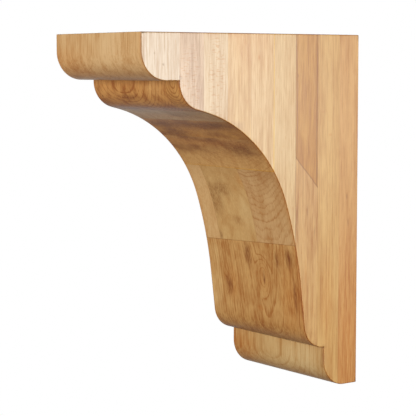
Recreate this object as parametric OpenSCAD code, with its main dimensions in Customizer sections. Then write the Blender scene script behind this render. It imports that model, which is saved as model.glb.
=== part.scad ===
// Wooden corbel bracket, glued up from boards that lie parallel to the wall.
// Millimetres. The origin is the centre of the wall face: the corbel stands out
// along -Y, its width lies along X and the shelf rests on its top, at +Z.

/* [Overall] */
// Height from the foot to the shelf
height = 355.6; // [300:0.1:430]
// How far the lip stands out from the wall
projection = 263.5; // [215:0.5:315]
// Width across the two side faces
width = 152.4; // [120:0.1:200]

/* [Lip] */
// Height of the lip under the shelf
lip_h = 45; // [36:0.5:60]
// How far the lip overhangs the ovolo
lip_step = 42.5; // [34:0.5:55]
// Radius of the lip's lower front edge
lip_r = 28; // [15:0.5:33]

/* [Ovolo] */
// Radius of the ovolo under the lip
ovolo_r = 27.5; // [20:0.5:34]
// Short upright above the ovolo's curve
ovolo_upright = 1; // [0.5:0.5:6]

/* [Cove] */
// Slope from level where the ovolo runs into the cove
ogee_slope = 14; // [10:0.5:18]
// Length of the straight between the ovolo and the cove
ogee_flat = 7.5; // [4:0.5:12]
// Slope from level where the cove's upper curve passes into the lower, flatter one
turn_slope = 71.5; // [65:0.5:76]
// Slope from level of the cove's straight lower end
end_slope = 83; // [80:0.5:86]
// Radius of the cove's lower curve as a multiple of the upper one's
flare_ratio = 3; // [2.2:0.1:3.6]

/* [Nosing and foot] */
// How far the nosing stands out from the wall
nosing_out = 69.5; // [57:0.5:85]
// Radius of the nosing under the cove
nosing_r = 25; // [15:0.5:28]
// Height of the foot under the nosing
foot_h = 41.3; // [34:0.1:50]
// How far the foot stands out from the wall
foot_out = 43.7; // [36:0.1:53]
// Radius of the foot's lower front edge
foot_r = 27; // [15:0.5:33]

/* [Boards] */
// Thickness of the board against the wall
wall_board_t = 25; // [20:0.5:35]
// How far the joint in front of the knotty board runs out of square over the width
skewed_joint = 1.2; // [0:0.1:3]
// Width of the left strip on the cove
left_strip_w = 26.5; // [15:0.5:40]
// Width of the right strip on the cove
right_strip_w = 61.5; // [45:0.5:75]
// Width of the narrow strip at the right of the ovolo
ovolo_strip_w = 24; // [15:0.5:40]

/* [Hidden] */
$fn = 180;

// The profile is drawn in a plane with [distance out from the wall, height], and the
// origin halfway up the wall face. A slope s falls towards the wall: it heads along
// [-cos(s), -sin(s)], and its outward normal, towards the air, is [sin(s), -cos(s)].
function outward(s) = [sin(s), -cos(s)];
function downhill(s) = [-cos(s), -sin(s)];

top = height / 2;
bottom = -height / 2;
ovolo_out = projection - lip_step;
ovolo_centre = [ovolo_out - ovolo_r, top - lip_h - ovolo_upright];
ogee_start = ovolo_centre + ovolo_r * outward(ogee_slope);
cove_start = ogee_start + ogee_flat * downhill(ogee_slope);
nosing_under = bottom + foot_h;
nosing_centre = [nosing_out - nosing_r, nosing_under + nosing_r];
cove_end = nosing_centre + nosing_r * outward(end_slope);

// The cove is an arc of radius cove_r, a tangent arc of radius flare_r and a tangent
// straight. run and drop are what the three together have to cover.
run = (cove_start - cove_end)[0];
drop = (cove_start - cove_end)[1];

// Run and drop of the two arcs for an upper radius of 1, where they meet at slope t.
function arcs_run(t) = sin(t) - sin(ogee_slope) + flare_ratio * (sin(end_slope) - sin(t));
function arcs_drop(t) = cos(ogee_slope) - cos(t) + flare_ratio * (cos(t) - cos(end_slope));

// A tall cove keeps its turn and ends in a straight. A cove too low for a straight
// turns later instead, where the two arcs alone give the ratio of run to drop.
tall = run * arcs_drop(turn_slope) < drop * arcs_run(turn_slope);
late_turn = atan2(drop, run)
    + acos((drop * (flare_ratio * sin(end_slope) - sin(ogee_slope))
            - run * (cos(ogee_slope) - flare_ratio * cos(end_slope)))
           / ((flare_ratio - 1) * norm([run, drop])));
turn = tall ? turn_slope : late_turn;
spread = arcs_run(turn) * sin(end_slope) - arcs_drop(turn) * cos(end_slope);
cove_r = (run * sin(end_slope) - drop * cos(end_slope)) / spread;
flare_r = flare_ratio * cove_r;
cove_centre = cove_start + cove_r * outward(ogee_slope);
turn_point = cove_centre - cove_r * outward(turn);
flare_centre = turn_point + flare_r * outward(turn);
flare_end = flare_centre - flare_r * outward(end_slope);

// Boards between the wall board and the lip share the depth evenly.
inner_boards = 7;
board_t = (ovolo_out - wall_board_t) / inner_boards;
// Distance from the wall to the front of the wall board (0), the second board (1) and so on
function front_of(i) = wall_board_t + i * board_t;

left = -width / 2;
right = width / 2;
left_joint = left + left_strip_w;
right_joint = right - right_strip_w;
ovolo_joint = right - ovolo_strip_w;
eps = 1;

// Block from the wall, with its base at [0, 0] and its lower front edge rounded
module rounded_block(out, h, r) {
    difference() {
        square([out, h]);
        difference() {
            translate([out - r, -eps]) square([r + eps, r + eps]);
            translate([out - r, r]) circle(r);
        }
    }
}

// Part of a disc between two slopes, on the side towards the wall
module sector(centre, r, from, to) {
    reach = 2 * r;
    intersection() {
        translate(centre) circle(r);
        polygon([centre, centre - reach * outward(from), centre - reach * outward(to)]);
    }
}

// Everything between the ovolo and the nosing's flat underside, before the cove is cut
module cove_blank() {
    polygon([[0, top], [ovolo_centre[0], top], ovolo_centre, ogee_start, cove_start, turn_point,
             flare_end, cove_end, nosing_centre, [nosing_centre[0], nosing_under],
             [0, nosing_under]]);
}

module cove() {
    difference() {
        cove_blank();
        sector(cove_centre, cove_r, ogee_slope, turn);
        sector(flare_centre, flare_r, turn, end_slope);
    }
}

// Each child outline, made as long as the width
module across_width() {
    rotate([90, 0, -90])
        for (i = [0:$children - 1]) linear_extrude(width, center = true) children(i);
}

// The block behind the lip board, before it is parted into boards
module block() {
    across_width() {
        translate([0, ovolo_centre[1]]) square([ovolo_out, top - ovolo_centre[1]]);
        translate(ovolo_centre) circle(ovolo_r);
        cove();
        translate(nosing_centre) circle(nosing_r);
        translate([0, bottom]) rounded_block(foot_out, foot_h + nosing_r, foot_r);
    }
}

// Board from back to front, measured out from the wall. The skews move its right end
// forward and its left end back by half as much each.
module board(back, front, from_x = left, to_x = right, back_skew = 0, front_skew = 0) {
    function place(x, out, skew) = [x, -out - skew * x / width];
    intersection() {
        block();
        translate([0, 0, bottom - eps]) linear_extrude(height + 2 * eps)
            polygon([place(from_x, back, back_skew), place(to_x, back, back_skew),
                     place(to_x, front, front_skew), place(from_x, front, front_skew)]);
    }
}

module wall_board() {
    color("burlywood") board(0, front_of(0));
}

module second_board() {
    color("sandybrown") board(front_of(0), front_of(1));
}

module knotty_board() {
    color("peru") board(front_of(1), front_of(2), front_skew = skewed_joint);
}

module cove_strip(from_x, to_x) {
    board(front_of(2), front_of(3), from_x, to_x, back_skew = skewed_joint);
}

module cove_strip_left() {
    color("wheat") cove_strip(left, left_joint);
}

module cove_strip_middle() {
    color("burlywood") cove_strip(left_joint, right_joint);
}

module cove_strip_right() {
    color("tan") cove_strip(right_joint, right);
}

module fifth_board() {
    color("moccasin") board(front_of(3), front_of(4));
}

module sixth_board() {
    color("navajowhite") board(front_of(4), front_of(5));
}

module seventh_board() {
    color("bisque") board(front_of(5), front_of(6));
}

module ovolo_board() {
    color("wheat") board(front_of(6), front_of(7), left, ovolo_joint);
}

module ovolo_strip() {
    color("burlywood") board(front_of(6), front_of(7), ovolo_joint, right);
}

module lip_board() {
    color("blanchedalmond") across_width() translate([ovolo_out, top - lip_h])
        rounded_block(lip_step, lip_h, lip_r);
}

wall_board();
second_board();
knotty_board();
cove_strip_left();
cove_strip_middle();
cove_strip_right();
fifth_board();
sixth_board();
seventh_board();
ovolo_board();
ovolo_strip();
lip_board();
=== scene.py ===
"""Wooden corbel bracket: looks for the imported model, in metres, in the CAD frame.

The corbel stands out from the wall along -Y, its width lies along X and its height along Z.
Each glued board is one piece, cut from a block with eased edges, and has a solid-wood
material whose growth rings run through it in three dimensions.
"""

import math

import bmesh
import bpy
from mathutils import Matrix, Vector


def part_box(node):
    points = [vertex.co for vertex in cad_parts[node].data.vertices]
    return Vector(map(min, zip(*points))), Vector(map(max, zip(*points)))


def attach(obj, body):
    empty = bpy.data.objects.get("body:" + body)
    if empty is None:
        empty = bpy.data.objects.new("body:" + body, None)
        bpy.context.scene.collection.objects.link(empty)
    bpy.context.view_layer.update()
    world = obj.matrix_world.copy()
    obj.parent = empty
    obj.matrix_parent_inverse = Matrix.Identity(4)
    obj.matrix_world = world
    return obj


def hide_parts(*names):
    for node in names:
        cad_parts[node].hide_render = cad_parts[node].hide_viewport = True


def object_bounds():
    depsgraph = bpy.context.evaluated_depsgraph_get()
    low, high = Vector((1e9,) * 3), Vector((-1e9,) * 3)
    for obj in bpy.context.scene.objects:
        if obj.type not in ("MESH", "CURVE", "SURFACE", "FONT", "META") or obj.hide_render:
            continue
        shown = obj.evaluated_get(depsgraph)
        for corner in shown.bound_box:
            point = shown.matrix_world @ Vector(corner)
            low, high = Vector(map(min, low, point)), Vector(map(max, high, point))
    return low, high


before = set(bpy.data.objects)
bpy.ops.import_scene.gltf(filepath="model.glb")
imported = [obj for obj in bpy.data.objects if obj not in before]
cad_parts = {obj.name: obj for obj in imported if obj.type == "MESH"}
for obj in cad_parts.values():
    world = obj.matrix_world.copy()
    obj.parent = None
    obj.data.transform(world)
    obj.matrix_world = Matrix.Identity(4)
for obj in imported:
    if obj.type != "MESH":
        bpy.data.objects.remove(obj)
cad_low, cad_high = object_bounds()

MM = 0.001

# Sizes of the profile that the frame's boxes don't give, as in the CAD source
LIP_RADIUS = 28.0 * MM
OVOLO_RADIUS = 27.5 * MM
OVOLO_UPRIGHT = 1.0 * MM
OGEE_SLOPE = math.radians(14.0)
OGEE_FLAT = 7.5 * MM
TURN_SLOPE = math.radians(71.5)
END_SLOPE = math.radians(83.0)
FLARE_RATIO = 3.0
NOSING_OUT = 69.5 * MM
NOSING_RADIUS = 25.0 * MM
FOOT_HEIGHT = 41.3 * MM
FOOT_OUT = 43.7 * MM
FOOT_RADIUS = 27.0 * MM

# Boards of even thickness lie between the wall board and the lip board, and one of the joints
# between them is farther out by the skew at the right side than at the left
EVEN_BOARDS = 7
SKEWED_JOINT = 1.2 * MM

# How far the edges are eased, and the turns at which a small corner has points
EASED = 1.0 * MM
EASED_STEPS = 5
CORNER_EASED = 0.8 * MM
CORNER_TURNS = (0.0, 0.4, 0.8, 1.2)

# How fine the mesh is, and the flat rim inside each side's edge
FLAT_RIM = 0.5 * MM
ARC_STEP = 1.2 * MM
STRAIGHT_STEP = 6.0 * MM
OGEE_STEP = 2.5 * MM
ROW_STEP = 6.0 * MM
SHARP_ANGLE = math.radians(32.0)
ON_THE_CUT = 1e-6

# The cut behind the lip keeps this far from the outline's inner corner, so as not to graze it
CORNER_CLEARANCE = 0.02 * MM


# ---------------------------------------------------------------- profile

def box_of(node):
    """The lowest and highest corner of a node's box in the frame."""
    low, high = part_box(node)
    return Vector(low), Vector(high)


lip_low, lip_high = box_of("lip_board")
PROJECTION = -lip_low.y
OVOLO_OUT = -lip_high.y
TOP = cad_high[2]
BOTTOM = cad_low[2]
LIP_UNDER = lip_low.z
HALF_WIDTH = cad_high[0]


def outward(slope):
    """Unit normal, towards the air, of a stretch that falls towards the wall at this slope."""
    return Vector((math.sin(slope), -math.cos(slope)))


def downhill(slope):
    """Unit vector along such a stretch, down and towards the wall."""
    return Vector((-math.cos(slope), -math.sin(slope)))


def arc(centre, radius, start, end, hollow=False):
    """Points on an arc between two slopes. A hollow arc has its centre in the air."""
    steps = max(3, math.ceil(abs(end - start) * radius / ARC_STEP))
    side = -1.0 if hollow else 1.0
    slopes = [start + (end - start) * i / steps for i in range(steps + 1)]
    return [centre + side * radius * outward(s) for s in slopes]


def straight(start, end, step=STRAIGHT_STEP):
    """Points between two ends, without the ends."""
    count = max(1, round((end - start).length / step))
    return [start.lerp(end, i / count) for i in range(1, count)]


def profile():
    """The outline as (distance out from the wall, height), from the top back corner and round."""
    level, upright = 0.0, math.radians(90.0)
    ovolo_centre = Vector((OVOLO_OUT - OVOLO_RADIUS, LIP_UNDER - OVOLO_UPRIGHT))
    ogee_start = ovolo_centre + OVOLO_RADIUS * outward(OGEE_SLOPE)
    cove_start = ogee_start + OGEE_FLAT * downhill(OGEE_SLOPE)
    nosing_under = BOTTOM + FOOT_HEIGHT
    nosing_centre = Vector((NOSING_OUT - NOSING_RADIUS, nosing_under + NOSING_RADIUS))
    cove_end = nosing_centre + NOSING_RADIUS * outward(END_SLOPE)
    run, drop = cove_start - cove_end
    arcs_run = (math.sin(TURN_SLOPE) - math.sin(OGEE_SLOPE)
                + FLARE_RATIO * (math.sin(END_SLOPE) - math.sin(TURN_SLOPE)))
    arcs_drop = (math.cos(OGEE_SLOPE) - math.cos(TURN_SLOPE)
                 + FLARE_RATIO * (math.cos(TURN_SLOPE) - math.cos(END_SLOPE)))
    spread = arcs_run * math.sin(END_SLOPE) - arcs_drop * math.cos(END_SLOPE)
    cove_radius = (run * math.sin(END_SLOPE) - drop * math.cos(END_SLOPE)) / spread
    flare_radius = FLARE_RATIO * cove_radius
    cove_centre = cove_start + cove_radius * outward(OGEE_SLOPE)
    turn_point = cove_centre - cove_radius * outward(TURN_SLOPE)
    flare_centre = turn_point + flare_radius * outward(TURN_SLOPE)
    flare_end = flare_centre - flare_radius * outward(END_SLOPE)

    lip_centre = Vector((PROJECTION - LIP_RADIUS, LIP_UNDER + LIP_RADIUS))
    foot_centre = Vector((FOOT_OUT - FOOT_RADIUS, BOTTOM + FOOT_RADIUS))
    top_front = Vector((PROJECTION, TOP))
    top_back = Vector((0.0, TOP))
    bottom_back = Vector((0.0, BOTTOM))
    lip_corner = Vector((OVOLO_OUT, LIP_UNDER))
    foot_corner = Vector((FOOT_OUT, nosing_under))

    r = CORNER_EASED
    points = [top_back + Vector((r, 0.0))]
    points += straight(points[-1], top_front - Vector((r, 0.0)))
    points += [top_front + Vector((-r + r * math.sin(a), -r + r * math.cos(a)))
               for a in (*CORNER_TURNS, upright)]
    lip_arc = arc(lip_centre, LIP_RADIUS, upright, level)
    points += straight(points[-1], lip_arc[0]) + lip_arc
    points += straight(lip_arc[-1], lip_corner) + [lip_corner]
    points += arc(ovolo_centre, OVOLO_RADIUS, upright, OGEE_SLOPE)
    points += straight(ogee_start, cove_start, OGEE_STEP)
    points += arc(cove_centre, cove_radius, OGEE_SLOPE, TURN_SLOPE, hollow=True)
    points += arc(flare_centre, flare_radius, TURN_SLOPE, END_SLOPE, hollow=True)[1:]
    points += straight(flare_end, cove_end)
    points += arc(nosing_centre, NOSING_RADIUS, END_SLOPE, level)
    points += [foot_corner]
    foot_arc = arc(foot_centre, FOOT_RADIUS, upright, level)
    points += straight(foot_corner, foot_arc[0]) + foot_arc
    points += straight(foot_arc[-1], bottom_back + Vector((r, 0.0)))
    points += [bottom_back + Vector((r - r * math.sin(a), r - r * math.cos(a)))
               for a in (*CORNER_TURNS, upright)]
    points += straight(points[-1], top_back - Vector((0.0, r)))
    points += [top_back + Vector((r - r * math.cos(a), -r + r * math.sin(a)))
               for a in CORNER_TURNS]
    return points


def inset(points, depth):
    """The outline moved inwards by depth, with mitred corners. The outline runs clockwise."""
    moved = []
    for i, point in enumerate(points):
        before = (point - points[i - 1]).normalized()
        after = (points[(i + 1) % len(points)] - point).normalized()
        n1 = Vector((-before.y, before.x))
        n2 = Vector((-after.y, after.x))
        moved.append(point - (n1 + n2) * (depth / (1.0 + n1.dot(n2))))
    return moved


# ---------------------------------------------------------------- boards

def block():
    """The whole block with its side edges eased, as a closed mesh."""
    outline = profile()
    inner = HALF_WIDTH - EASED
    rows = []
    rows.append((-HALF_WIDTH, EASED + FLAT_RIM))
    for i in range(EASED_STEPS + 1):
        a = math.radians(90.0) * (1.0 - i / EASED_STEPS)
        rows.append((-inner - EASED * math.sin(a), EASED * (1.0 - math.cos(a))))
    count = round(2.0 * inner / ROW_STEP)
    rows += [(-inner + 2.0 * inner * i / count, 0.0) for i in range(1, count)]
    for i in range(EASED_STEPS + 1):
        a = math.radians(90.0) * i / EASED_STEPS
        rows.append((inner + EASED * math.sin(a), EASED * (1.0 - math.cos(a))))
    rows.append((HALF_WIDTH, EASED + FLAT_RIM))
    bm = bmesh.new()
    rings = []
    for x, depth in rows:
        ring = inset(outline, depth) if depth > 0.0 else outline
        rings.append([bm.verts.new((x, -out, up)) for out, up in ring])
    for a, b in zip(rings, rings[1:]):
        for i in range(len(a)):
            bm.faces.new((a[i - 1], a[i], b[i], b[i - 1]))
    bm.faces.new(rings[0])
    bm.faces.new(list(reversed(rings[-1])))
    bmesh.ops.recalc_face_normals(bm, faces=bm.faces)
    return bm


def cut(bm, point, normal):
    """Cuts off what lies past the plane, on the side the normal points to, and closes the cut."""
    geometry = bm.verts[:] + bm.edges[:] + bm.faces[:]
    done = bmesh.ops.bisect_plane(bm, geom=geometry, plane_co=point, plane_no=normal,
                                  dist=ON_THE_CUT, clear_outer=True)
    edges = [e for e in done["geom_cut"] if isinstance(e, bmesh.types.BMEdge) and e.is_boundary]
    bmesh.ops.edgeloop_fill(bm, edges=edges)


def board(node, whole, back, front, left=None, right=None, back_skew=0.0, front_skew=0.0):
    """One board of the block, between two distances out from the wall and two places across.

    A skew is how much farther out the joint lies at the right side than at the left.
    """
    bm = whole.copy()
    width = 2.0 * HALF_WIDTH
    if back > 0.0:
        cut(bm, (0.0, -back, 0.0), (back_skew / width, 1.0, 0.0))
    if front < PROJECTION:
        cut(bm, (0.0, -front, 0.0), (-front_skew / width, -1.0, 0.0))
    if left is not None:
        cut(bm, (left, 0.0, 0.0), (-1.0, 0.0, 0.0))
    if right is not None:
        cut(bm, (right, 0.0, 0.0), (1.0, 0.0, 0.0))
    bmesh.ops.triangulate(bm, faces=[f for f in bm.faces if len(f.verts) > 4])
    bmesh.ops.recalc_face_normals(bm, faces=bm.faces)
    mesh = bpy.data.meshes.new(node)
    bm.to_mesh(mesh)
    bm.free()
    mesh.shade_smooth()
    mesh.set_sharp_from_angle(angle=SHARP_ANGLE)
    piece = bpy.data.objects.new(node + "_wood", mesh)
    bpy.context.scene.collection.objects.link(piece)
    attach(piece, "root")
    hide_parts(node)
    return piece


whole = block()
wall_front = -box_of("wall_board")[0].y
board_depth = (OVOLO_OUT - wall_front) / EVEN_BOARDS
fronts = [wall_front + board_depth * i for i in range(EVEN_BOARDS + 1)]
fronts[EVEN_BOARDS] += CORNER_CLEARANCE
left_joint = box_of("cove_strip_left")[1].x
right_joint = box_of("cove_strip_right")[0].x
ovolo_joint = box_of("ovolo_strip")[0].x

pieces = {
    "wall_board": board("wall_board", whole, 0.0, fronts[0]),
    "second_board": board("second_board", whole, fronts[0], fronts[1]),
    "knotty_board": board("knotty_board", whole, fronts[1], fronts[2], front_skew=SKEWED_JOINT),
    "cove_strip_left": board("cove_strip_left", whole, fronts[2], fronts[3],
                             right=left_joint, back_skew=SKEWED_JOINT),
    "cove_strip_middle": board("cove_strip_middle", whole, fronts[2], fronts[3],
                               left_joint, right_joint, back_skew=SKEWED_JOINT),
    "cove_strip_right": board("cove_strip_right", whole, fronts[2], fronts[3],
                              left=right_joint, back_skew=SKEWED_JOINT),
    "fifth_board": board("fifth_board", whole, fronts[3], fronts[4]),
    "sixth_board": board("sixth_board", whole, fronts[4], fronts[5]),
    "seventh_board": board("seventh_board", whole, fronts[5], fronts[6]),
    "ovolo_board": board("ovolo_board", whole, fronts[6], fronts[7], right=ovolo_joint),
    "ovolo_strip": board("ovolo_strip", whole, fronts[6], fronts[7], left=ovolo_joint),
    "lip_board": board("lip_board", whole, fronts[7], PROJECTION),
}


# ---------------------------------------------------------------- node arithmetic

def connect(tree, socket, value):
    """Sets a socket to a plain number or vector, or links a Value to it."""
    if isinstance(value, Value):
        tree.links.new(value.socket, socket)
    else:
        socket.default_value = value


class Value:
    """A number in a material's node tree, so that a pattern reads as arithmetic."""

    def __init__(self, tree, socket):
        self.tree = tree
        self.socket = socket

    def math(self, operation, *others, clamp=False):
        """This number and the others put through a Math node."""
        node = self.tree.nodes.new("ShaderNodeMath")
        node.operation = operation
        node.use_clamp = clamp
        for socket, value in zip(node.inputs, (self, *others)):
            connect(self.tree, socket, value)
        return Value(self.tree, node.outputs[0])

    def __add__(self, other):
        return self.math("ADD", other)

    def __sub__(self, other):
        return self.math("SUBTRACT", other)

    def __mul__(self, other):
        return self.math("MULTIPLY", other)

    def __truediv__(self, other):
        return self.math("DIVIDE", other)

    def invert(self):
        return (self * -1.0) + 1.0

    def clamped(self):
        return self.math("ADD", 0.0, clamp=True)

    def rise(self, low, high):
        """0 below low, 1 above high and smooth between. It falls instead if low is the greater."""
        node = self.tree.nodes.new("ShaderNodeMapRange")
        node.interpolation_type = "SMOOTHSTEP"
        connect(self.tree, node.inputs["Value"], self)
        node.inputs["From Min"].default_value = min(low, high)
        node.inputs["From Max"].default_value = max(low, high)
        rising = Value(self.tree, node.outputs["Result"])
        return rising if low < high else rising.invert()


def screen(red, green, blue):
    """A colour written as on a screen, 0 to 255, as the linear colour that a shader takes.

    This is the upper part of the sRGB curve, so it's for colours that aren't nearly black.
    """
    return tuple(((c / 255.0 + 0.055) / 1.055) ** 2.4 for c in (red, green, blue)) + (1.0,)


# Each noise starts this far from the one before, along a line of this direction
SEED_STEP = 3.7
SEED_LINE = (1.0, 1.7, 0.6)

# A face that lies nearer than this to level with a joint's plane counts as this slanted
LEAST_SLANT = 0.03


class Wood:
    """The material of one board. Places are in mm: across, out from the wall, and up."""

    def __init__(self, name, seed):
        self.material = bpy.data.materials.new(name)
        self.material.use_nodes = True
        self.tree = self.material.node_tree
        self.seed = seed
        self.shader = self.tree.nodes["Principled BSDF"]
        coordinates = self.tree.nodes.new("ShaderNodeTexCoord")
        self.place = self.vector("MULTIPLY", coordinates.outputs["Object"],
                                 (1.0 / MM, -1.0 / MM, 1.0 / MM))
        self.across, self.out, self.up = self.parts(self.place)
        side, front, end = self.parts(coordinates.outputs["Normal"])
        self.side_facing = side.math("ABSOLUTE")
        self.end_facing = end.math("ABSOLUTE")
        self.slant = (front * front).invert().math("MAXIMUM", LEAST_SLANT).math("SQRT")

    def vector(self, operation, first, *others):
        """The output of a Vector Math node on a socket and plain vectors."""
        node = self.tree.nodes.new("ShaderNodeVectorMath")
        node.operation = operation
        self.tree.links.new(first, node.inputs[0])
        for socket, value in zip(node.inputs[1:], others):
            socket.default_value = value
        return node.outputs["Value"] if operation == "LENGTH" else node.outputs["Vector"]

    def parts(self, vector):
        """The three numbers in a vector."""
        node = self.tree.nodes.new("ShaderNodeSeparateXYZ")
        self.tree.links.new(vector, node.inputs[0])
        return [Value(self.tree, socket) for socket in node.outputs]

    def noise(self, spread, detail=2.0):
        """Smooth noise about 0, from -1 to 1, with patches this many mm across, out and up."""
        self.seed += SEED_STEP
        shift = tuple(self.seed * part for part in SEED_LINE)
        node = self.tree.nodes.new("ShaderNodeTexNoise")
        node.inputs["Scale"].default_value = 1.0
        node.inputs["Detail"].default_value = detail
        scaled = self.vector("MULTIPLY_ADD", self.place, tuple(1.0 / s for s in spread), shift)
        self.tree.links.new(scaled, node.inputs["Vector"])
        return (Value(self.tree, node.outputs["Fac"]) - 0.5) * 2.0

    def spot(self, centre, radii, core=0.0, ragged=0.25):
        """1 in the middle of an ellipsoid, 0 outside it, with a soft and slightly ragged edge."""
        centred = self.vector("SUBTRACT", self.place, centre)
        scaled = self.vector("MULTIPLY", centred, tuple(1.0 / r for r in radii))
        distance = Value(self.tree, self.vector("LENGTH", scaled))
        if ragged:
            distance = distance + self.noise(tuple(0.6 * r for r in radii)) * ragged
        return distance.rise(1.0, core)

    def near(self, value, target, width):
        """1 where the value is at the target, and 0 from the width away."""
        return (value - target).math("ABSOLUTE").rise(width, 0.0)

    def tint(self, colour, amount, by):
        """The colour multiplied by another one, as far as the amount says."""
        node = self.tree.nodes.new("ShaderNodeMix")
        node.data_type = "RGBA"
        node.blend_type = "MULTIPLY"
        connect(self.tree, node.inputs[0], amount)
        connect(self.tree, node.inputs[6], colour)
        connect(self.tree, node.inputs[7], by)
        return Value(self.tree, node.outputs[2])


# ---------------------------------------------------------------- patterns of the wood

# Colours that the wood is multiplied by
LATE_TINT = (0.72, 0.55, 0.36, 1.0)
ROSE_TINT = (0.98, 0.93, 0.88, 1.0)
END_TINT = (0.78, 0.66, 0.52, 1.0)
DARK_TINT = (0.52, 0.37, 0.22, 1.0)
PALE_TINT = (1.12, 1.18, 1.25, 1.0)
# Paler wood, and on the ovolo's lower turn a painted sheen
SAP_AND_SHEEN_TINT = (1.33, 1.68, 2.30, 1.0)
FLECK_TINT = (0.91, 0.76, 0.58, 1.0)
GLUE_TINT = (0.60, 0.46, 0.28, 1.0)
YELLOW_TINT = (1.08, 1.0, 0.38, 1.0)
EDGE_TINT = (0.68, 0.44, 0.20, 1.0)
ORANGE_TINT = (0.90, 0.68, 0.42, 1.0)
PINK_TINT = (0.95, 0.81, 0.66, 1.0)
HEART_TINT = (0.86, 0.71, 0.34, 1.0)
TAN_TINT = (0.76, 0.64, 0.44, 1.0)
SHADE_TINT = (0.45, 0.33, 0.22, 1.0)
SMUDGE_TINT = (0.55, 0.42, 0.29, 1.0)
KNOT_TINT = (0.42, 0.28, 0.16, 1.0)

# Sizes of each pattern's patches in mm: across, out and up
RING_SWAY = (38.0, 38.0, 130.0)
RING_WAVES = (9.0, 9.0, 30.0)
FIBRES = (1.1, 1.1, 15.0)
STREAKS = (1.8, 1.8, 42.0)
BANDS = (6.0, 6.0, 90.0)
BLOTCHES = (17.0, 17.0, 75.0)
MOTTLES = (9.0, 10.0, 26.0)
ROSE_BANDS = (5.0, 5.0, 60.0)
DASHES = (0.8, 0.8, 6.0)
PORES = (0.5, 0.5, 3.0)
SMUDGES = (48.0, 20.0, 17.0)
RAY_DASHES = (3.0, 5.5, 1.5)

# Shares of a ring: late wood begins its width before the start, is darkest, and then fades
LATE_START = 0.95
LATE_DARKEST = 0.92
LATE_FADE = 0.94
WAVES_SHARE = 0.35

# How much of the late wood's tint plain wood has, and shares that are the same on every board
PLAIN_SHARE = 0.31
ROSE_SHARE = 0.5
DASH_SHARE = 0.6
END_SHARE = 0.9
PORE_SHARE = 0.4
RIM_SHARE = 0.4
RIM_WIDTH = 8.0

# How streaks, fibres and the least amount make up what shows of a broken line or mark
LINE_BREAKS = (0.6, 0.6, 0.75)
MARK_BREAKS = (0.6, 0.7, 0.75)

# Which way a face has to look, from not at all to fully, for what shows only there
OFF_SIDES = (0.9, 0.3)
END_GRAIN = (0.35, 0.95)
LOOKING_DOWN = (0.58, 0.7)
EDGE_FROM_FRONT = (0.05, 0.4)
EDGE_FROM_SIDE = (0.995, 0.8)

# The satin finish: its roughness and relief, and the patterns' shares in them
ROUGHNESS = 0.36
STREAK_ROUGHNESS = 0.05
RING_ROUGHNESS = 0.06
FIBRE_ROUGHNESS = 0.04
IOR = 1.5
BUMP_STRENGTH = 0.4
BUMP_DEPTH = 0.15 * MM
FIBRE_RELIEF = 0.6
RING_RELIEF = 0.5

# In mm: half the width, the joints' distances out, the strips' joints across, and the skew
# that the one joint has at each side
SIDE = 76.0
BACK_JOINT, SECOND_JOINT, SKEWED, FIFTH_JOINT = 25.0, 53.0, 81.0, 109.0
SIXTH_JOINT, SEVENTH_JOINT, OVOLO_JOINT, LIP_JOINT = 137.0, 165.0, 193.0, 221.0
STRIP_LEFT, STRIP_RIGHT, OVOLO_STRIP = -49.7, 14.7, 52.2
SKEW = 0.6


def growth_rings(wood, pith, spacing, tilt, warp, swells, width, even):
    """Late-wood lines of the rings round a pith that runs up the board, and each ring's strength.

    The pith is at a place across and out, and leans by the tilt for each mm up. A swell is a
    knot or bulge that pushes the rings apart: (centre, radii, push in mm). The width is the
    late wood's share of a ring, and even is how strong the weakest line is.
    """
    across = wood.across - pith[0] - wood.up * tilt[0]
    out = wood.out - pith[1] - wood.up * tilt[1]
    distance = (across * across + out * out).math("SQRT")
    distance = distance + wood.noise(RING_SWAY) * warp
    distance = distance + wood.noise(RING_WAVES, 3.0) * (warp * WAVES_SHARE)
    for centre, radii, push in swells:
        distance = distance + wood.spot(centre, radii, ragged=0.0) * push
    turns = distance / spacing
    ring = turns.math("FLOOR")
    within = turns - ring
    line = within.rise(LATE_START - width, LATE_DARKEST) * within.rise(1.0, LATE_FADE)
    random = wood.tree.nodes.new("ShaderNodeTexWhiteNoise")
    random.noise_dimensions = "1D"
    connect(wood.tree, random.inputs["W"], ring + wood.seed)
    strength = Value(wood.tree, random.outputs["Value"]).math("POWER", 2.0)
    return line * (strength * (1.0 - even) + even)


def broken(streak, fibre, breaks):
    """How far a line or mark shows where streaks and fibres break it up."""
    return (streak * breaks[0] + fibre * breaks[1] + breaks[2]).clamped()


def flecks(wood, centre, radii):
    """Short ray flecks that lie level on a radial face, inside an ellipsoid."""
    dashes = wood.noise(RAY_DASHES, 1.0).rise(0.08, 0.35)
    return dashes * wood.spot(centre, radii, core=0.5)


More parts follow.
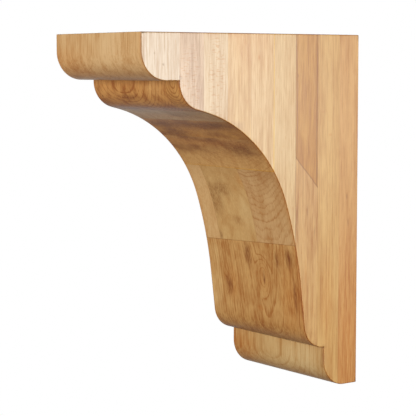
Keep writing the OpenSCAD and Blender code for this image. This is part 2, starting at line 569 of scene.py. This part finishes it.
def solid_wood(name, seed, light, pith, spacing=3.0, tilt=(0.0, 0.0), warp=2.0, swells=(),
               width=0.5, even=0.12, lines=0.5, fibres=0.6, streaks=0.62, blotches=0.55,
               mottles=0.5, smudges=0.0, side_lines=0.45, late=None, front=None, marks=(),
               ray_flecks=(), glue=(), figure=None):
    """One board's wood, from its light colour and the growth rings, which growth_rings explains.

    Lines, fibres, streaks, blotches, mottles and smudges are strengths of the patterns: the
    rings' late wood, fine and long streaks along the grain, wide patches, smaller patches off
    the sides, and brown smears on the faces that look down. Side_lines is the share of the
    ring lines that the sides show. Late is the tint of the late wood, and front that of the
    faces other than the sides; the difference it makes between the sides and the curved faces
    is partly the wood's own tone and partly painted sheen on the sides.
    Marks are (tint, centre, radii, strength) in mm, ray_flecks (centre, radii, strength), and
    glue (plane, tint, strength). A figure is a function that adds what only this board shows:
    it takes the wood and the colour, and gives back the colour.
    """
    wood = Wood(name, seed)
    ring_lines = growth_rings(wood, pith, spacing, tilt, warp, swells, width, even)
    fibre = wood.noise(FIBRES, 3.0)
    streak = wood.noise(STREAKS, 4.0)
    band = wood.noise(BANDS, 3.0)
    blotch = wood.noise(BLOTCHES, 4.0)
    fronts_only = wood.side_facing.rise(*OFF_SIDES)
    ring_lines = ring_lines * broken(streak, fibre, LINE_BREAKS)
    ring_lines = ring_lines * (fronts_only * (1.0 - side_lines) + side_lines)
    amount = ring_lines * lines + fibre * fibres + (streak + band) * streaks
    mottle = wood.noise(MOTTLES, 3.0) * fronts_only
    amount = amount + blotch * blotches + mottle * mottles + PLAIN_SHARE
    colour = wood.tint(light, amount.clamped(), late or LATE_TINT)
    rose = wood.noise(ROSE_BANDS, 2.0).rise(0.0, 0.7)
    colour = wood.tint(colour, rose * ROSE_SHARE, ROSE_TINT)
    dash = wood.noise(DASHES, 1.0).rise(0.3, 0.55)
    colour = wood.tint(colour, dash * DASH_SHARE, ORANGE_TINT)
    # The front tint sets the curved faces apart from the sides: partly the wood's own tone, partly
    # painted sheen on the sides
    if front:
        colour = wood.tint(colour, fronts_only, front)

    # End grain takes up more finish, so it is darker and duller, with open pores
    end = wood.end_facing.rise(*END_GRAIN)
    pores = wood.noise(PORES, 2.0).rise(0.1, 0.7)
    colour = wood.tint(colour, end * END_SHARE, END_TINT)
    colour = wood.tint(colour, end * pores * PORE_SHARE, DARK_TINT)

    if smudges:
        smudge = wood.noise(SMUDGES, 4.0).rise(-0.2, 0.45)
        below = wood.end_facing.rise(*LOOKING_DOWN)
        colour = wood.tint(colour, smudge * below * smudges, SMUDGE_TINT)

    for tint, centre, radii, strength in marks:
        shade = wood.spot(centre, radii) * broken(streak, fibre, MARK_BREAKS)
        colour = wood.tint(colour, shade * strength, tint)
    for centre, radii, strength in ray_flecks:
        colour = wood.tint(colour, flecks(wood, centre, radii) * strength, FLECK_TINT)
    if figure:
        colour = figure(wood, colour)
    for plane, tint, strength in glue:
        colour = wood.tint(colour, plane(wood) * strength, tint)

    # Finish builds up on the eased edges and browns there
    edge = wood.side_facing.rise(*EDGE_FROM_FRONT) * wood.side_facing.rise(*EDGE_FROM_SIDE)
    colour = wood.tint(colour, edge, EDGE_TINT)
    rim = wood.across.math("ABSOLUTE").rise(SIDE - RIM_WIDTH, SIDE) * fronts_only
    colour = wood.tint(colour, rim * RIM_SHARE, ORANGE_TINT)

    shader = wood.shader
    connect(wood.tree, shader.inputs["Base Color"], colour)
    roughness = streak * STREAK_ROUGHNESS + ring_lines * RING_ROUGHNESS + fibre * FIBRE_ROUGHNESS
    connect(wood.tree, shader.inputs["Roughness"], (roughness + ROUGHNESS).clamped())
    shader.inputs["IOR"].default_value = IOR
    bump = wood.tree.nodes.new("ShaderNodeBump")
    bump.inputs["Strength"].default_value = BUMP_STRENGTH
    bump.inputs["Distance"].default_value = BUMP_DEPTH
    height = fibre * FIBRE_RELIEF - ring_lines * RING_RELIEF - pores * end
    connect(wood.tree, bump.inputs["Height"], height)
    wood.tree.links.new(bump.outputs["Normal"], shader.inputs["Normal"])
    return wood.material


def level_joint(out, skew=0.0, width=0.4):
    """A glue line between boards, at a distance out from the wall, skewed by so much at each side.

    It shows equally wide on every face that it crosses, however the face slants.
    """
    def plane(wood):
        away = (wood.out - wood.across * (skew / SIDE) - out).math("ABSOLUTE")
        return (away / wood.slant).rise(width, 0.0)
    return plane


def upright_joint(across, width=0.4):
    """A glue line between strips, at a place across the corbel."""
    def plane(wood):
        return wood.near(wood.across, across, width)
    return plane


# ---------------------------------------------------------------- the boards' woods

# The wedge of dark wood, in mm: its lower edge's place, slope and waviness, its borders and vein
WEDGE_OUT, WEDGE_UP, WEDGE_SLOPE = 54.0, 27.0, 1.09
WEDGE_WAVES, WAVE_HEIGHT = (6.0, 6.0, 20.0), 1.2
WEDGE_LINE = 1.8
WEDGE_BACK, WEDGE_FRONT = 54.6, 79.8
WEDGE_STREAKS = (1.3, 1.3, 60.0)
VEIN_OUT, VEIN_LEAN, VEIN_WIDTH = 66.0, 0.085, 1.6
VEIN_BEGINS = (12.0, 40.0)

# How strongly the wedge's wood, streaks, pale vein, lower edge and borders show
WEDGE_SHARES = (0.9, 0.55, 0.6, 0.8, 0.6)


def dark_heart(wood, colour):
    """The darker streaked wedge that runs down the right side of the knotty board to a point."""
    wood_share, streak_share, vein_share, line_share, border_share = WEDGE_SHARES
    waves = wood.noise(WEDGE_WAVES) * WAVE_HEIGHT
    rim = wood.up - WEDGE_UP - (wood.out - WEDGE_OUT) * WEDGE_SLOPE + waves
    right_side = wood.across.rise(0.9 * SIDE, 0.97 * SIDE)
    inside = rim.rise(-1.5, 1.5) * right_side
    colour = wood.tint(colour, inside * wood_share, HEART_TINT)
    streaks = wood.noise(WEDGE_STREAKS, 2.0).rise(0.2, 0.6)
    colour = wood.tint(colour, inside * streaks * streak_share, ORANGE_TINT)
    vein = wood.near(wood.out - wood.up * VEIN_LEAN, VEIN_OUT, VEIN_WIDTH)
    vein = vein * rim.rise(*VEIN_BEGINS) * right_side
    colour = wood.tint(colour, vein * vein_share, PALE_TINT)
    line = rim.math("ABSOLUTE").rise(WEDGE_LINE, 0.0) * right_side
    colour = wood.tint(colour, line * line_share, GLUE_TINT)
    border = wood.near(wood.out, WEDGE_FRONT, 1.5) + wood.near(wood.out, WEDGE_BACK, 1.6)
    return wood.tint(colour, border * inside * border_share, DARK_TINT)


# Brown smudges on the cove that lie across the joint of the fifth and sixth boards
COVE_SMUDGES = [(SMUDGE_TINT, (-42.0, 141.0, 78.0), (36.0, 20.0, 17.0), 0.9),
                (SMUDGE_TINT, (42.0, 127.0, 65.0), (38.0, 18.0, 15.0), 0.9)]

woods = {
    "wall_board": solid_wood(
        "wall_board_wood", 1.0, screen(213, 163, 99), (30.0, -60.0), 2.6, tilt=(0.0, 0.02),
        width=0.45, glue=[(level_joint(BACK_JOINT), GLUE_TINT, 0.25)],
        # Darker and more orange towards the bottom of the right side: partly the wood's own tone
        # and partly a painted fall-off of the sheen that lies on the side's upper part
        marks=[(ORANGE_TINT, (SIDE, 12.0, -140.0), (60.0, 34.0, 190.0), 1.0),
               (DARK_TINT, (SIDE, 12.5, -11.0), (14.0, 1.5, 7.0), 0.8),
               (DARK_TINT, (SIDE, 14.6, 15.0), (14.0, 1.4, 5.0), 0.8)]),
    "second_board": solid_wood(
        "second_board_wood", 2.0, screen(216, 172, 105), (-9.0, 110.0), 4.6, width=0.25, even=0.5,
        lines=0.8, warp=1.3, front=(1.0, 1.05, 1.22, 1.0),
        glue=[(level_joint(BACK_JOINT), GLUE_TINT, 0.2),
              (level_joint(SECOND_JOINT), GLUE_TINT, 0.3)],
        marks=[(ORANGE_TINT, (SIDE, 37.0, 78.0), (6.0, 4.0, 2.0), 0.6),
               (ORANGE_TINT, (SIDE, 46.0, 101.0), (6.0, 3.0, 2.0), 0.5),
               (ORANGE_TINT, (SIDE, 40.0, -90.0), (60.0, 16.0, 80.0), 0.7),
               (ORANGE_TINT, (-66.0, 42.0, -155.0), (48.0, 24.0, 46.0), 1.0),
               (PINK_TINT, (-62.0, 43.0, -155.0), (40.0, 20.0, 34.0), 1.0),
               (DARK_TINT, (74.0, 44.0, -150.0), (5.0, 6.0, 20.0), 0.6),
               # Painted shade in the corner where the nosing's underside meets the foot, across
               # the whole width
               (SHADE_TINT, (0.0, 43.7, -136.0), (220.0, 4.0, 3.5), 0.8),
               (SAP_AND_SHEEN_TINT, (42.0, 42.0, -152.0), (50.0, 16.0, 30.0), 0.45)]),
    "knotty_board": solid_wood(
        "knotty_board_wood", 3.0, screen(214, 168, 104), (22.0, 101.0), 3.8, width=0.35,
        even=0.25, lines=1.0, streaks=0.5, blotches=0.7, mottles=0.8, warp=3.0,
        late=(0.64, 0.43, 0.22, 1.0), front=(0.98, 0.92, 0.84, 1.0),
        figure=dark_heart,
        swells=[((17.0, 75.0, -68.0), (16.0, 30.0, 30.0), 16.0),
                ((-43.0, 74.0, -84.0), (12.0, 30.0, 22.0), 8.0)],
        glue=[(level_joint(SECOND_JOINT), GLUE_TINT, 0.3),
              (level_joint(SKEWED, SKEW, 0.8), DARK_TINT, 0.9)],
        marks=[(DARK_TINT, (SIDE, 53.8, 41.0), (8.0, 1.4, 15.0), 0.7),
               (KNOT_TINT, (SIDE, 79.0, 137.0), (5.0, 1.2, 3.0), 0.8),
               (DARK_TINT, (SIDE, 66.5, 3.0), (14.0, 1.7, 11.0), 0.8),
               (DARK_TINT, (SIDE, 56.8, -18.0), (14.0, 1.9, 8.0), 0.8),
               (ORANGE_TINT, (SIDE, 68.0, -60.0), (14.0, 2.4, 30.0), 0.6),
               (DARK_TINT, (SIDE, 79.4, -5.0), (6.0, 2.0, 30.0), 0.8),
               (DARK_TINT, (-6.0, 79.0, -46.0), (9.0, 12.0, 22.0), 1.0),
               (DARK_TINT, (42.0, 79.0, -50.0), (5.0, 9.0, 17.0), 0.9),
               (DARK_TINT, (62.0, 79.0, -46.0), (9.0, 9.0, 16.0), 1.0),
               (DARK_TINT, (66.0, 74.0, -85.0), (4.0, 9.0, 32.0), 0.9),
               (ORANGE_TINT, (60.0, 75.0, -90.0), (28.0, 20.0, 60.0), 0.9),
               (KNOT_TINT, (18.0, 75.0, -70.0), (3.0, 9.0, 12.0), 0.9),
               (ORANGE_TINT, (18.0, 75.0, -74.0), (16.0, 12.0, 26.0), 0.6),
               (DARK_TINT, (-43.0, 74.0, -84.0), (10.0, 12.0, 15.0), 1.0),
               (ORANGE_TINT, (-38.0, 74.0, -82.0), (16.0, 12.0, 28.0), 0.8),
               (ORANGE_TINT, (7.0, 71.0, -103.0), (8.0, 9.0, 5.0), 1.0),
               (SAP_AND_SHEEN_TINT, (-76.0, 78.0, -75.0), (30.0, 40.0, 80.0), 1.0),
               (TAN_TINT, (0.0, 70.0, -122.0), (170.0, 18.0, 18.0), 1.0),
               # Painted shade under the nosing: these two marks darken its underside across the
               # whole width
               (DARK_TINT, (0.0, 50.0, -139.0), (200.0, 30.0, 16.0), 1.0),
               (SHADE_TINT, (0.0, 52.0, -137.5), (220.0, 14.0, 6.0), 0.85)]),
    "cove_strip_left": solid_wood(
        "cove_strip_left_wood", 4.0, screen(225, 182, 123), (-110.0, 90.0), 3.4, tilt=(0.25, 0.0),
        width=0.3, lines=0.5, streaks=0.25, blotches=0.3, mottles=0.2,
        glue=[(level_joint(SKEWED, SKEW), GLUE_TINT, 0.3),
              (level_joint(FIFTH_JOINT, width=0.6), GLUE_TINT, 0.5),
              (upright_joint(STRIP_LEFT), GLUE_TINT, 0.3)]),
    "cove_strip_middle": solid_wood(
        "cove_strip_middle_wood", 5.0, screen(216, 173, 110), (-20.0, 10.0), 6.0, lines=0.2,
        streaks=0.2, blotches=0.5, mottles=0.4,
        glue=[(level_joint(SKEWED, SKEW), GLUE_TINT, 0.4),
              (level_joint(FIFTH_JOINT, width=0.6), GLUE_TINT, 0.6),
              (upright_joint(STRIP_LEFT, 0.6), GLUE_TINT, 0.8),
              (upright_joint(STRIP_RIGHT, 0.6), GLUE_TINT, 0.5)],
        marks=[(SMUDGE_TINT, (-28.0, 97.0, 20.0), (24.0, 24.0, 15.0), 0.9),
               (SMUDGE_TINT, (-39.0, 94.0, 5.0), (14.0, 24.0, 24.0), 0.7),
               (DARK_TINT, (-12.0, 86.0, -12.0), (12.0, 18.0, 8.0), 0.45),
               (KNOT_TINT, (-47.0, 82.0, -32.0), (4.0, 10.0, 9.0), 1.0),
               (DARK_TINT, (-47.0, 97.0, 8.0), (6.0, 20.0, 44.0), 0.7),
               (ORANGE_TINT, (11.0, 103.0, 30.0), (10.0, 14.0, 13.0), 0.9),
               (SAP_AND_SHEEN_TINT, (7.0, 91.0, -4.0), (18.0, 30.0, 34.0), 0.4)]),
    "cove_strip_right": solid_wood(
        "cove_strip_right_wood", 6.0, screen(223, 187, 130), (34.0, 215.0), 2.3, width=0.4,
        even=0.3, front=(0.88, 0.77, 0.71, 1.0), lines=1.2, streaks=0.4, warp=3.4,
        glue=[(level_joint(SKEWED, SKEW), GLUE_TINT, 0.4),
              (upright_joint(STRIP_RIGHT), GLUE_TINT, 0.3),
              (level_joint(FIFTH_JOINT, width=1.0), YELLOW_TINT, 1.0)],
        marks=[(SAP_AND_SHEEN_TINT, (SIDE, 97.0, 70.0), (12.0, 24.0, 44.0), 0.3)]),
    "fifth_board": solid_wood(
        "fifth_board_wood", 7.0, screen(226, 189, 132), (25.0, 260.0), 2.4, lines=0.5,
        even=0.25, smudges=1.0, front=(0.93, 0.79, 0.59, 1.0),
        glue=[(level_joint(FIFTH_JOINT, width=1.0), YELLOW_TINT, 1.0),
              (level_joint(SIXTH_JOINT), GLUE_TINT, 0.2)],
        marks=[(ORANGE_TINT, (SIDE, 127.3, 154.7), (4.0, 2.0, 4.0), 0.9),
               (PINK_TINT, (SIDE, 126.0, 172.0), (30.0, 30.0, 54.0), 0.9),
               (ORANGE_TINT, (0.0, 131.0, 70.0), (220.0, 11.0, 11.0), 0.6), *COVE_SMUDGES]),
    "sixth_board": solid_wood(
        "sixth_board_wood", 8.0, screen(224, 183, 119), (-60.0, 60.0), 2.2, lines=0.5,
        smudges=1.0, front=(0.96, 0.79, 0.5, 1.0),
        glue=[(level_joint(SIXTH_JOINT), GLUE_TINT, 0.2),
              (level_joint(SEVENTH_JOINT), GLUE_TINT, 0.2)],
        marks=[(ORANGE_TINT, (SIDE, 160.0, 179.0), (30.0, 20.0, 9.0), 0.7),
               (PINK_TINT, (SIDE, 147.0, 170.0), (30.0, 26.0, 52.0), 0.9),
               (SMUDGE_TINT, (0.0, 154.0, 88.0), (220.0, 14.0, 9.0), 0.8),
               (DARK_TINT, (40.0, 160.0, 90.0), (44.0, 10.0, 5.0), 0.8), *COVE_SMUDGES]),
    "seventh_board": solid_wood(
        "seventh_board_wood", 9.0, screen(221, 189, 141), (10.0, 300.0), 2.8, lines=0.35,
        smudges=0.5,
        glue=[(level_joint(SEVENTH_JOINT), GLUE_TINT, 0.2),
              (level_joint(OVOLO_JOINT), GLUE_TINT, 0.2)],
        marks=[(ORANGE_TINT, (SIDE, 184.0, 179.0), (30.0, 20.0, 9.0), 0.8),
               (PINK_TINT, (0.0, 173.0, 97.0), (220.0, 10.0, 9.0), 1.0)],
        ray_flecks=[((SIDE, 178.0, 140.0), (20.0, 13.0, 55.0), 1.0)]),
    "ovolo_board": solid_wood(
        "ovolo_board_wood", 10.0, screen(220, 178, 122), (-21.0, 298.0), 3.2, width=0.25,
        even=0.55, lines=1.3, streaks=0.5, mottles=1.5, warp=1.0, smudges=0.4,
        late=(0.58, 0.40, 0.24, 1.0), front=(0.87, 0.66, 0.40, 1.0),
        glue=[(level_joint(OVOLO_JOINT), GLUE_TINT, 0.2),
              (upright_joint(OVOLO_STRIP), GLUE_TINT, 0.5)],
        # Painted shadow: a dark line along the top of the ovolo, just under the lip, across the
        # whole width
        marks=[(SHADE_TINT, (0.0, 221.0, 135.8), (220.0, 6.0, 3.8), 0.9),
               (KNOT_TINT, (-65.8, 216.0, 116.6), (2.6, 6.0, 2.2), 1.0),
               (SAP_AND_SHEEN_TINT, (32.0, 220.0, 127.0), (26.0, 12.0, 16.0), 0.7),
               # Painted reflection: a paler band along the ovolo's lower turn, standing for the
               # pale sheen of the bright surroundings
               (SAP_AND_SHEEN_TINT, (-8.0, 211.0, 109.5), (110.0, 9.0, 6.0), 0.4),
               (DARK_TINT, (-18.0, 216.0, 116.5), (30.0, 12.0, 5.0), 0.8)]),
    "ovolo_strip": solid_wood(
        "ovolo_strip_wood", 11.0, screen(215, 178, 134), (64.7, 263.5), 3.0, tilt=(0.0, -0.3),
        width=0.4, even=0.7, side_lines=0.08, lines=1.5, streaks=0.3, warp=0.6,
        late=(0.55, 0.38, 0.23, 1.0), front=(0.95, 0.73, 0.37, 1.0),
        # Painted shadow: a dark line along the top of the ovolo, just under the lip, across the
        # whole width
        marks=[(SHADE_TINT, (0.0, 221.0, 135.8), (220.0, 6.0, 3.8), 0.9)],
        glue=[(level_joint(OVOLO_JOINT), GLUE_TINT, 0.2),
              (upright_joint(OVOLO_STRIP), GLUE_TINT, 0.5)],
        ray_flecks=[((SIDE, 210.0, 126.0), (8.0, 18.0, 50.0), 1.0)]),
    # The lip board's light colour is pale partly as painted sheen on its side, and its front tint
    # darkens the curved faces back to the wood's tone
    "lip_board": solid_wood(
        "lip_board_wood", 12.0, screen(220, 194, 158), (-41.0, 330.0), 4.0, width=0.3, lines=0.3,
        streaks=0.8, fibres=0.7, mottles=0.8, front=(1.0, 0.82, 0.57, 1.0),
        glue=[(level_joint(LIP_JOINT), GLUE_TINT, 0.2)],
        marks=[(ORANGE_TINT, (-58.0, 258.0, 150.0), (55.0, 22.0, 27.0), 0.7),
               (SAP_AND_SHEEN_TINT, (22.0, 263.0, 166.0), (45.0, 20.0, 30.0), 0.2),
               (ORANGE_TINT, (-30.0, 246.0, 139.0), (120.0, 14.0, 8.0), 0.5),
               (DARK_TINT, (SIDE, 239.0, 147.9), (5.0, 2.0, 2.0), 1.0),
               (DARK_TINT, (SIDE, 249.0, 158.2), (5.0, 1.6, 2.0), 0.5)],
        ray_flecks=[((45.0, 262.0, 160.0), (40.0, 12.0, 20.0), 0.4)]),
}
for node, piece in pieces.items():
    piece.data.materials.append(woods[node])


# ---------------------------------------------------------------- camera, floor and light

# The photo's view: lens and sensor in mm, shift as a share of the sensor, angles in degrees
CAMERA_LENS = 129.3
CAMERA_SENSOR = 36.0
CAMERA_SHIFT = -0.04
CAMERA_AZIMUTH = 54.08
CAMERA_PITCH = 4.78
CAMERA_PLACE = (1.2157, -1.0138, 0.1461)
CAMERA_REACH = 50.0

# The lights' place, size, radiance and aim
MIDDLE = (0.0, -0.12, 0.0)
SIDE_PANEL = ((1.5, 0.52, 0.12), (0.56, 0.38), 29.0, (0.07, -0.15, 0.05))
FRONT_PANEL = ((0.1, -2.2, 0.15), (1.6, 1.2), 5.4, MIDDLE)
REAR_PANEL = ((-1.8, 1.4, 0.9), (1.6, 1.6), 2.5, MIDDLE)

FLOOR_HALF = 2.2
FLOOR_HEIGHT = -1.1
FLOOR_COLOUR = (0.85, 0.84, 0.82, 1.0)
FLOOR_ROUGHNESS = 0.7
FLOOR_GLOW = 0.6
FLOOR_GLOW_COLOUR = (1.0, 0.99, 0.97, 1.0)

# The surroundings: white to the camera, dimmer to the wood, and brighter towards the backdrop
WORLD_COLOUR = (1.0, 1.0, 1.0, 1.0)
WORLD_WHITE = 1.0
WORLD_FILL = 0.2
BACKDROP = (-0.81, 0.58, -0.1)
BACKDROP_RIM, BACKDROP_CORE = 0.86, 0.995
BACKDROP_GLOW = 0.72


def add_camera():
    """The photo's view: from the right of the front, a little above, with a long lens."""
    data = bpy.data.cameras.new("camera")
    data.lens = CAMERA_LENS
    data.sensor_width = CAMERA_SENSOR
    data.shift_y = CAMERA_SHIFT
    data.clip_end = CAMERA_REACH
    camera = bpy.data.objects.new("camera", data)
    azimuth, pitch = math.radians(CAMERA_AZIMUTH), math.radians(CAMERA_PITCH)
    back = Vector((math.sin(azimuth) * math.cos(pitch), -math.cos(azimuth) * math.cos(pitch),
                   math.sin(pitch)))
    camera.rotation_mode = "QUATERNION"
    camera.rotation_quaternion = (-back).to_track_quat("-Z", "Y")
    camera.location = CAMERA_PLACE
    bpy.context.scene.collection.objects.link(camera)
    bpy.context.scene.camera = camera


def add_area(name, place, size, radiance, aim):
    """A soft rectangular panel, with its brightness given per square metre of its face."""
    data = bpy.data.lights.new(name, "AREA")
    data.shape = "RECTANGLE"
    data.size, data.size_y = size
    data.energy = math.pi * radiance * size[0] * size[1]
    light = bpy.data.objects.new(name, data)
    light.location = place
    light.rotation_mode = "QUATERNION"
    light.rotation_quaternion = (Vector(aim) - Vector(place)).to_track_quat("-Z", "Y")
    bpy.context.scene.collection.objects.link(light)


def add_floor():
    """A plain pale floor, well below the corbel, which hangs on a wall."""
    half, height = FLOOR_HALF, FLOOR_HEIGHT
    mesh = bpy.data.meshes.new("floor")
    mesh.from_pydata([(-half, -half, height), (half, -half, height), (half, half, height),
                      (-half, half, height)], [], [(0, 1, 2, 3)])
    floor = bpy.data.objects.new("floor", mesh)
    pale = bpy.data.materials.new("pale_floor")
    pale.use_nodes = True
    shader = pale.node_tree.nodes["Principled BSDF"]
    shader.inputs["Base Color"].default_value = FLOOR_COLOUR
    shader.inputs["Roughness"].default_value = FLOOR_ROUGHNESS
    shader.inputs["Emission Color"].default_value = FLOOR_GLOW_COLOUR
    shader.inputs["Emission Strength"].default_value = FLOOR_GLOW
    mesh.materials.append(pale)
    floor.visible_diffuse = False
    floor.visible_glossy = False
    bpy.context.scene.collection.objects.link(floor)


def add_world():
    """White surroundings, as a white cut-out shows them, that light the wood only softly.

    Behind the corbel, where its underside mirrors the bright background, they are whiter.
    """
    world = bpy.data.worlds.new("studio")
    world.use_nodes = True
    tree = world.node_tree
    background = tree.nodes["Background"]
    background.inputs["Color"].default_value = WORLD_COLOUR
    coordinates = tree.nodes.new("ShaderNodeTexCoord")
    towards = tree.nodes.new("ShaderNodeVectorMath")
    towards.operation = "DOT_PRODUCT"
    towards.inputs[1].default_value = BACKDROP
    tree.links.new(coordinates.outputs["Generated"], towards.inputs[0])
    glow = tree.nodes.new("ShaderNodeMapRange")
    glow.interpolation_type = "SMOOTHSTEP"
    glow.inputs["From Min"].default_value = BACKDROP_RIM
    glow.inputs["From Max"].default_value = BACKDROP_CORE
    glow.inputs["To Min"].default_value = WORLD_FILL
    glow.inputs["To Max"].default_value = BACKDROP_GLOW
    tree.links.new(towards.outputs["Value"], glow.inputs["Value"])
    rays = tree.nodes.new("ShaderNodeLightPath")
    strength = tree.nodes.new("ShaderNodeMapRange")
    strength.inputs["To Max"].default_value = WORLD_WHITE
    tree.links.new(rays.outputs["Is Camera Ray"], strength.inputs["Value"])
    tree.links.new(glow.outputs["Result"], strength.inputs["To Min"])
    tree.links.new(strength.outputs["Result"], background.inputs["Strength"])
    bpy.context.scene.world = world


add_camera()
add_area("side_panel", *SIDE_PANEL)
add_area("front_panel", *FRONT_PANEL)
add_area("rear_panel", *REAR_PANEL)
add_floor()
add_world()
bpy.context.scene.view_settings.view_transform = "Standard"
